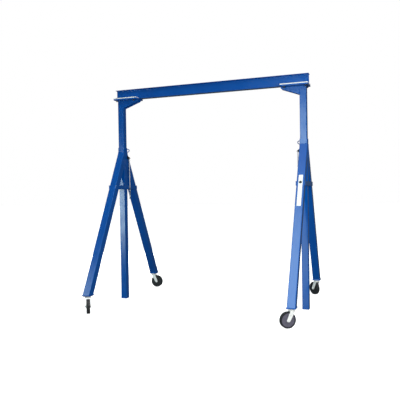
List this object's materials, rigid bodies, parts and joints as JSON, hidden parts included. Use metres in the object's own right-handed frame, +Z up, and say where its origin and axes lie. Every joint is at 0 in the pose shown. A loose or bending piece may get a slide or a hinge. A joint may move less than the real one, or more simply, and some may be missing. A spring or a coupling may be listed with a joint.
{
  "type": "portable gantry crane",
  "caption": "Portable gantry crane: an overhead I-beam on telescoping uprights held in wheeled A-frames, for hoisting loads and rolling them about.",
  "frame": {"origin": "Floor level, straight below the middle of the beam and on the centre plane of the uprights.", "axes": "+X along the beam, to the right as seen from the front; +Y towards the back, away from the side with the label; +Z up."},
  "size_m": [3.048, 2.4425, 3.3186],
  "materials": {
    "beam_paint": "semi-gloss blue enamel",
    "mast_paint": "semi-gloss blue enamel",
    "frame_paint": "semi-gloss blue enamel",
    "dark_steel": "black paint",
    "zinc": "bright zinc plating",
    "chain_steel": "plated, dulled",
    "bright_steel": "bright plated",
    "bearing": "ground steel",
    "wheel": "matt moulded phenolic resin",
    "label": "plain white film"
  },
  "bodies": {
    "left_a_frame": {"left_sleeve": "frame_paint", "left_front_leg": "frame_paint", "left_rear_leg": "frame_paint", "left_braces": "frame_paint", "left_foot_plates": "frame_paint", "left_caster_bolts": "zinc", "left_lifting_eye": "frame_paint", "left_chain_lug": "dark_steel", "front_left_caster_plate": "zinc", "front_left_kingpin": "zinc", "rear_left_caster_plate": "zinc", "rear_left_kingpin": "zinc"},
    "left_mast": {"left_upright": "mast_paint", "left_saddle_plate": "mast_paint", "left_packers": "frame_paint", "left_gussets": "mast_paint", "left_clamp_bars": "zinc", "left_clamp_bolts": "zinc"},
    "right_a_frame": {"right_sleeve": "frame_paint", "right_front_leg": "frame_paint", "right_rear_leg": "frame_paint", "right_braces": "frame_paint", "right_foot_plates": "frame_paint", "right_caster_bolts": "zinc", "right_lifting_eye": "frame_paint", "right_chain_lug": "dark_steel", "front_right_caster_plate": "zinc", "front_right_kingpin": "zinc", "rear_right_caster_plate": "zinc", "rear_right_kingpin": "zinc", "label": "label"},
    "right_mast": {"right_upright": "mast_paint", "right_saddle_plate": "mast_paint", "right_packers": "frame_paint", "right_gussets": "mast_paint", "right_clamp_bars": "zinc", "right_clamp_bolts": "zinc"},
    "beam": {"i_beam": "beam_paint"},
    "front_left_caster": {"front_left_fork": "zinc", "front_left_axle": "zinc"},
    "front_left_roller": {"front_left_wheel": "wheel", "front_left_wheel_bearing": "bearing"},
    "rear_left_caster": {"rear_left_fork": "zinc", "rear_left_axle": "zinc"},
    "rear_left_roller": {"rear_left_wheel": "wheel", "rear_left_wheel_bearing": "bearing"},
    "front_right_caster": {"front_right_fork": "zinc", "front_right_axle": "zinc"},
    "front_right_roller": {"front_right_wheel": "wheel", "front_right_wheel_bearing": "bearing"},
    "rear_right_caster": {"rear_right_fork": "zinc", "rear_right_axle": "zinc"},
    "rear_right_roller": {"rear_right_wheel": "wheel", "rear_right_wheel_bearing": "bearing"},
    "left_chain": {"left_pin_chain": "chain_steel"},
    "left_pin": {"left_pin_ring": "chain_steel", "left_locking_pin": "bright_steel"},
    "right_chain": {"right_pin_chain": "chain_steel"},
    "right_pin": {"right_pin_ring": "chain_steel", "right_locking_pin": "bright_steel"}
  },
  "joints": [
    {"name": "left_height", "type": "slide", "parent": "left_a_frame", "child": "left_mast", "axis": [0, 0, 1], "range_m": [0, 1.524]},
    {"name": "left_span", "type": "slide", "parent": "left_mast", "child": "beam", "axis": [1, 0, 0], "range_m": [-0.6, 0]},
    {"name": "right_span", "type": "slide", "parent": "beam", "child": "right_mast", "axis": [-1, 0, 0], "range_m": [0, 0.6]},
    {"name": "right_height", "type": "slide", "parent": "right_mast", "child": "right_a_frame", "axis": [0, 0, -1], "range_m": [0, 1.524]},
    {"name": "front_left_swivel", "type": "hinge", "parent": "left_a_frame", "child": "front_left_caster", "pos_m": [-1.442, -1.086, 0.2], "axis": [0, 0, 1], "continuous": true},
    {"name": "front_left_roll", "type": "hinge", "parent": "front_left_caster", "child": "front_left_roller", "pos_m": [-1.41096, -1.1338, 0.1016], "axis": [-0.8387, -0.5446, 0], "continuous": true},
    {"name": "rear_left_swivel", "type": "hinge", "parent": "left_a_frame", "child": "rear_left_caster", "pos_m": [-1.442, 1.086, 0.2], "axis": [0, 0, 1], "continuous": true},
    {"name": "rear_left_roll", "type": "hinge", "parent": "rear_left_caster", "child": "rear_left_roller", "pos_m": [-1.385, 1.086, 0.1016], "axis": [0, -1, 0], "continuous": true},
    {"name": "front_right_swivel", "type": "hinge", "parent": "right_a_frame", "child": "front_right_caster", "pos_m": [1.442, -1.086, 0.2], "axis": [0, 0, 1], "continuous": true},
    {"name": "front_right_roll", "type": "hinge", "parent": "front_right_caster", "child": "front_right_roller", "pos_m": [1.39531, -1.11869, 0.1016], "axis": [-0.5736, 0.8192, 0], "continuous": true},
    {"name": "rear_right_swivel", "type": "hinge", "parent": "right_a_frame", "child": "rear_right_caster", "pos_m": [1.442, 1.086, 0.2], "axis": [0, 0, 1], "continuous": true},
    {"name": "rear_right_roll", "type": "hinge", "parent": "rear_right_caster", "child": "rear_right_roller", "pos_m": [1.401, 1.1256, 0.1016], "axis": [0.6947, 0.7193, 0], "continuous": true},
    {"name": "left_chain_swing", "type": "hinge", "parent": "left_a_frame", "child": "left_chain", "pos_m": [-1.34603, 0.03918, 2.239], "axis": [0, -1, 0], "range_deg": [0, 75]},
    {"name": "left_pin_swing", "type": "hinge", "parent": "left_chain", "child": "left_pin", "pos_m": [-1.34603, 0.03918, 1.80055], "axis": [0, -1, 0], "range_deg": [0, 60]},
    {"name": "right_chain_swing", "type": "hinge", "parent": "right_a_frame", "child": "right_chain", "pos_m": [1.34603, 0.03918, 2.239], "axis": [0, 1, 0], "range_deg": [0, 75]},
    {"name": "right_pin_swing", "type": "hinge", "parent": "right_chain", "child": "right_pin", "pos_m": [1.34603, 0.03918, 1.80055], "axis": [0, 1, 0], "range_deg": [0, 60]}
  ],
  "couplings": [
    {"joint": "right_height", "follows": "left_height", "ratio": 1}
  ]
}
